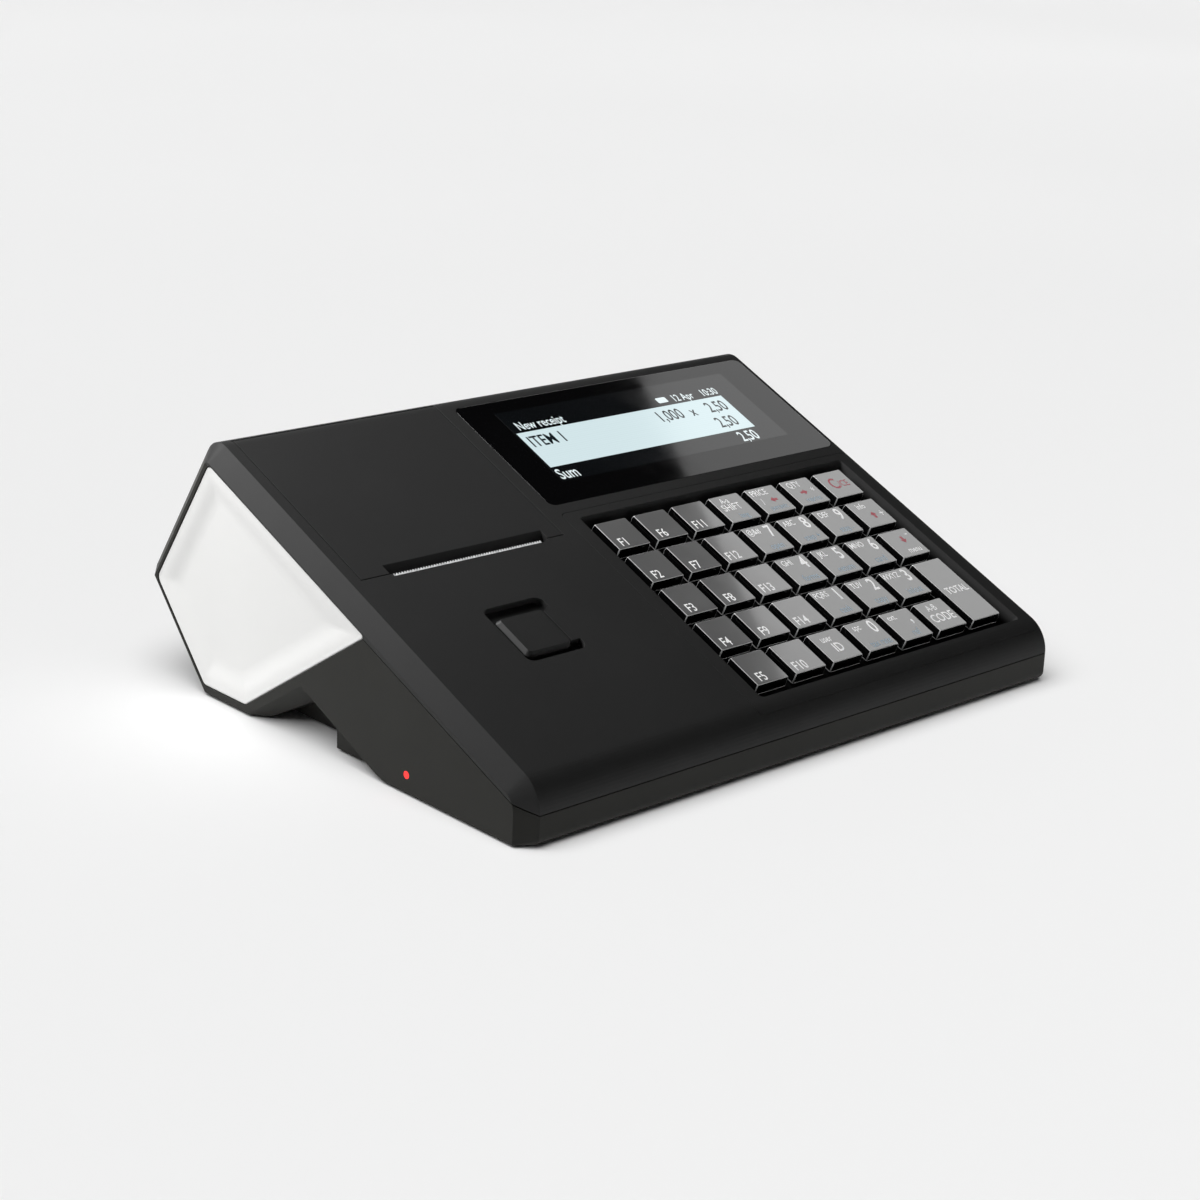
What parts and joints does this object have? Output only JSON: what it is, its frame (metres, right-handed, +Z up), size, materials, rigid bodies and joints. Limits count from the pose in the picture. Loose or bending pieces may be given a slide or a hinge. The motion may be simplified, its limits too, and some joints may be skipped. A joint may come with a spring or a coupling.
{
  "type": "cash register",
  "caption": "Compact sloping cash register with clear-cap keys, a wide operator display, a printer under a hinged paper cover, and dished white side panels.",
  "frame": {"origin": "on the surface that the rubber feet stand on, at the middle of the case's footprint", "axes": "+X to the operator's right, along the longest side; +Y from the operator's side to the back; +Z up"},
  "size_m": [0.24, 0.1939, 0.0846],
  "materials": {
    "case_black": "fine spark-eroded texture, satin",
    "case_side": "fine spark-eroded texture, satin",
    "panel_white": "satin gloss white",
    "window_black": "polished, back-printed black",
    "lcd": "backlit liquid crystal display",
    "key_clear": "clear polished cap over a dark label",
    "key_clear_light": "clear polished cap over a grey label",
    "button_black": "fine texture",
    "steel": "fine brushed",
    "rubber_black": "matte",
    "silicone": "matte silicone",
    "board_green": "solder resist",
    "frame_grey": "moulded, satin",
    "ceramic": "ceramic strip on an aluminium carrier",
    "gear_nylon": "natural nylon",
    "paper": "thermal paper",
    "battery_wrap": "shrink wrap",
    "led_red": "diffused lens, lit"
  },
  "bodies": {
    "case": {"upper_case": "case_black", "lower_case": "case_side", "keypad_bezel": "case_black", "keyboard_mat": "silicone", "keyboard_board": "board_green", "display_window": "window_black", "display_module": "lcd", "customer_display": "window_black", "side_panel_left": "panel_white", "side_panel_right": "panel_white", "cover_hinge_pin": "steel", "tear_bar": "steel", "printer_frame": "frame_grey", "print_head": "ceramic", "feed_motor": "steel", "main_board": "board_green", "battery_pack": "battery_wrap", "rubber_feet": "rubber_black", "case_screws": "steel", "status_led": "led_red"},
    "key_f1_body": {"key_f1": "key_clear"},
    "key_f2_body": {"key_f2": "key_clear"},
    "key_f3_body": {"key_f3": "key_clear"},
    "key_f4_body": {"key_f4": "key_clear"},
    "key_f5_body": {"key_f5": "key_clear"},
    "key_f6_body": {"key_f6": "key_clear"},
    "key_f7_body": {"key_f7": "key_clear"},
    "key_f8_body": {"key_f8": "key_clear"},
    "key_f9_body": {"key_f9": "key_clear"},
    "key_f10_body": {"key_f10": "key_clear"},
    "key_f11_body": {"key_f11": "key_clear"},
    "key_f12_body": {"key_f12": "key_clear"},
    "key_f13_body": {"key_f13": "key_clear"},
    "key_f14_body": {"key_f14": "key_clear"},
    "key_id_body": {"key_id": "key_clear_light"},
    "key_shift_body": {"key_shift": "key_clear_light"},
    "key_7_body": {"key_7": "key_clear_light"},
    "key_4_body": {"key_4": "key_clear_light"},
    "key_1_body": {"key_1": "key_clear_light"},
    "key_0_body": {"key_0": "key_clear_light"},
    "key_price_body": {"key_price": "key_clear_light"},
    "key_8_body": {"key_8": "key_clear_light"},
    "key_5_body": {"key_5": "key_clear_light"},
    "key_2_body": {"key_2": "key_clear_light"},
    "key_comma_body": {"key_comma": "key_clear_light"},
    "key_quantity_body": {"key_quantity": "key_clear_light"},
    "key_9_body": {"key_9": "key_clear_light"},
    "key_6_body": {"key_6": "key_clear_light"},
    "key_3_body": {"key_3": "key_clear_light"},
    "key_code_body": {"key_code": "key_clear_light"},
    "key_clear_body": {"key_clear": "key_clear_light"},
    "key_up_body": {"key_up": "key_clear_light"},
    "key_down_body": {"key_down": "key_clear_light"},
    "key_total_body": {"key_total": "key_clear_light"},
    "cover": {"paper_cover": "case_black"},
    "platen": {"platen_roller": "rubber_black", "platen_gear": "gear_nylon"},
    "motor_pinion": {"motor_gear": "gear_nylon"},
    "roll": {"paper_roll": "paper"},
    "button": {"release_button": "button_black"}
  },
  "joints": [
    {"name": "key_f1_press", "type": "slide", "parent": "case", "child": "key_f1_body", "axis": [0, 0.3939, -0.9191], "range_m": [0, 0.002], "stiffness_N_per_m": 300},
    {"name": "key_f2_press", "type": "slide", "parent": "case", "child": "key_f2_body", "axis": [0, 0.3939, -0.9191], "range_m": [0, 0.002], "stiffness_N_per_m": 300},
    {"name": "key_f3_press", "type": "slide", "parent": "case", "child": "key_f3_body", "axis": [0, 0.3939, -0.9191], "range_m": [0, 0.002], "stiffness_N_per_m": 300},
    {"name": "key_f4_press", "type": "slide", "parent": "case", "child": "key_f4_body", "axis": [0, 0.3939, -0.9191], "range_m": [0, 0.002], "stiffness_N_per_m": 300},
    {"name": "key_f5_press", "type": "slide", "parent": "case", "child": "key_f5_body", "axis": [0, 0.3939, -0.9191], "range_m": [0, 0.002], "stiffness_N_per_m": 300},
    {"name": "key_f6_press", "type": "slide", "parent": "case", "child": "key_f6_body", "axis": [0, 0.3939, -0.9191], "range_m": [0, 0.002], "stiffness_N_per_m": 300},
    {"name": "key_f7_press", "type": "slide", "parent": "case", "child": "key_f7_body", "axis": [0, 0.3939, -0.9191], "range_m": [0, 0.002], "stiffness_N_per_m": 300},
    {"name": "key_f8_press", "type": "slide", "parent": "case", "child": "key_f8_body", "axis": [0, 0.3939, -0.9191], "range_m": [0, 0.002], "stiffness_N_per_m": 300},
    {"name": "key_f9_press", "type": "slide", "parent": "case", "child": "key_f9_body", "axis": [0, 0.3939, -0.9191], "range_m": [0, 0.002], "stiffness_N_per_m": 300},
    {"name": "key_f10_press", "type": "slide", "parent": "case", "child": "key_f10_body", "axis": [0, 0.3939, -0.9191], "range_m": [0, 0.002], "stiffness_N_per_m": 300},
    {"name": "key_f11_press", "type": "slide", "parent": "case", "child": "key_f11_body", "axis": [0, 0.3939, -0.9191], "range_m": [0, 0.002], "stiffness_N_per_m": 300},
    {"name": "key_f12_press", "type": "slide", "parent": "case", "child": "key_f12_body", "axis": [0, 0.3939, -0.9191], "range_m": [0, 0.002], "stiffness_N_per_m": 300},
    {"name": "key_f13_press", "type": "slide", "parent": "case", "child": "key_f13_body", "axis": [0, 0.3939, -0.9191], "range_m": [0, 0.002], "stiffness_N_per_m": 300},
    {"name": "key_f14_press", "type": "slide", "parent": "case", "child": "key_f14_body", "axis": [0, 0.3939, -0.9191], "range_m": [0, 0.002], "stiffness_N_per_m": 300},
    {"name": "key_id_press", "type": "slide", "parent": "case", "child": "key_id_body", "axis": [0, 0.3939, -0.9191], "range_m": [0, 0.002], "stiffness_N_per_m": 300},
    {"name": "key_shift_press", "type": "slide", "parent": "case", "child": "key_shift_body", "axis": [0, 0.3939, -0.9191], "range_m": [0, 0.002], "stiffness_N_per_m": 300},
    {"name": "key_7_press", "type": "slide", "parent": "case", "child": "key_7_body", "axis": [0, 0.3939, -0.9191], "range_m": [0, 0.002], "stiffness_N_per_m": 300},
    {"name": "key_4_press", "type": "slide", "parent": "case", "child": "key_4_body", "axis": [0, 0.3939, -0.9191], "range_m": [0, 0.002], "stiffness_N_per_m": 300},
    {"name": "key_1_press", "type": "slide", "parent": "case", "child": "key_1_body", "axis": [0, 0.3939, -0.9191], "range_m": [0, 0.002], "stiffness_N_per_m": 300},
    {"name": "key_0_press", "type": "slide", "parent": "case", "child": "key_0_body", "axis": [0, 0.3939, -0.9191], "range_m": [0, 0.002], "stiffness_N_per_m": 300},
    {"name": "key_price_press", "type": "slide", "parent": "case", "child": "key_price_body", "axis": [0, 0.3939, -0.9191], "range_m": [0, 0.002], "stiffness_N_per_m": 300},
    {"name": "key_8_press", "type": "slide", "parent": "case", "child": "key_8_body", "axis": [0, 0.3939, -0.9191], "range_m": [0, 0.002], "stiffness_N_per_m": 300},
    {"name": "key_5_press", "type": "slide", "parent": "case", "child": "key_5_body", "axis": [0, 0.3939, -0.9191], "range_m": [0, 0.002], "stiffness_N_per_m": 300},
    {"name": "key_2_press", "type": "slide", "parent": "case", "child": "key_2_body", "axis": [0, 0.3939, -0.9191], "range_m": [0, 0.002], "stiffness_N_per_m": 300},
    {"name": "key_comma_press", "type": "slide", "parent": "case", "child": "key_comma_body", "axis": [0, 0.3939, -0.9191], "range_m": [0, 0.002], "stiffness_N_per_m": 300},
    {"name": "key_quantity_press", "type": "slide", "parent": "case", "child": "key_quantity_body", "axis": [0, 0.3939, -0.9191], "range_m": [0, 0.002], "stiffness_N_per_m": 300},
    {"name": "key_9_press", "type": "slide", "parent": "case", "child": "key_9_body", "axis": [0, 0.3939, -0.9191], "range_m": [0, 0.002], "stiffness_N_per_m": 300},
    {"name": "key_6_press", "type": "slide", "parent": "case", "child": "key_6_body", "axis": [0, 0.3939, -0.9191], "range_m": [0, 0.002], "stiffness_N_per_m": 300},
    {"name": "key_3_press", "type": "slide", "parent": "case", "child": "key_3_body", "axis": [0, 0.3939, -0.9191], "range_m": [0, 0.002], "stiffness_N_per_m": 300},
    {"name": "key_code_press", "type": "slide", "parent": "case", "child": "key_code_body", "axis": [0, 0.3939, -0.9191], "range_m": [0, 0.002], "stiffness_N_per_m": 300},
    {"name": "key_clear_press", "type": "slide", "parent": "case", "child": "key_clear_body", "axis": [0, 0.3939, -0.9191], "range_m": [0, 0.002], "stiffness_N_per_m": 300},
    {"name": "key_up_press", "type": "slide", "parent": "case", "child": "key_up_body", "axis": [0, 0.3939, -0.9191], "range_m": [0, 0.002], "stiffness_N_per_m": 300},
    {"name": "key_down_press", "type": "slide", "parent": "case", "child": "key_down_body", "axis": [0, 0.3939, -0.9191], "range_m": [0, 0.002], "stiffness_N_per_m": 300},
    {"name": "key_total_press", "type": "slide", "parent": "case", "child": "key_total_body", "axis": [0, 0.3939, -0.9191], "range_m": [0, 0.002], "stiffness_N_per_m": 300},
    {"name": "cover_hinge", "type": "hinge", "parent": "case", "child": "cover", "pos_m": [-0.07005, 0.0565, 0.08038], "axis": [-1, 0, 0], "range_deg": [0, 95]},
    {"name": "platen_spin", "type": "hinge", "parent": "cover", "child": "platen", "pos_m": [-0.0689, 0.00023, 0.04919], "axis": [1, 0, 0], "continuous": true},
    {"name": "motor_spin", "type": "hinge", "parent": "case", "child": "motor_pinion", "pos_m": [-0.1027, 0.00555, 0.03678], "axis": [1, 0, 0], "continuous": true},
    {"name": "roll_spin", "type": "hinge", "parent": "case", "child": "roll", "pos_m": [-0.0689, 0.03982, 0.0444], "axis": [1, 0, 0], "continuous": true},
    {"name": "button_press", "type": "slide", "parent": "case", "child": "button", "axis": [0, 0.3939, -0.9191], "range_m": [0, 0.0025], "stiffness_N_per_m": 600}
  ],
  "couplings": [
    {"joint": "motor_spin", "follows": "platen_spin", "ratio": -0.8}
  ]
}
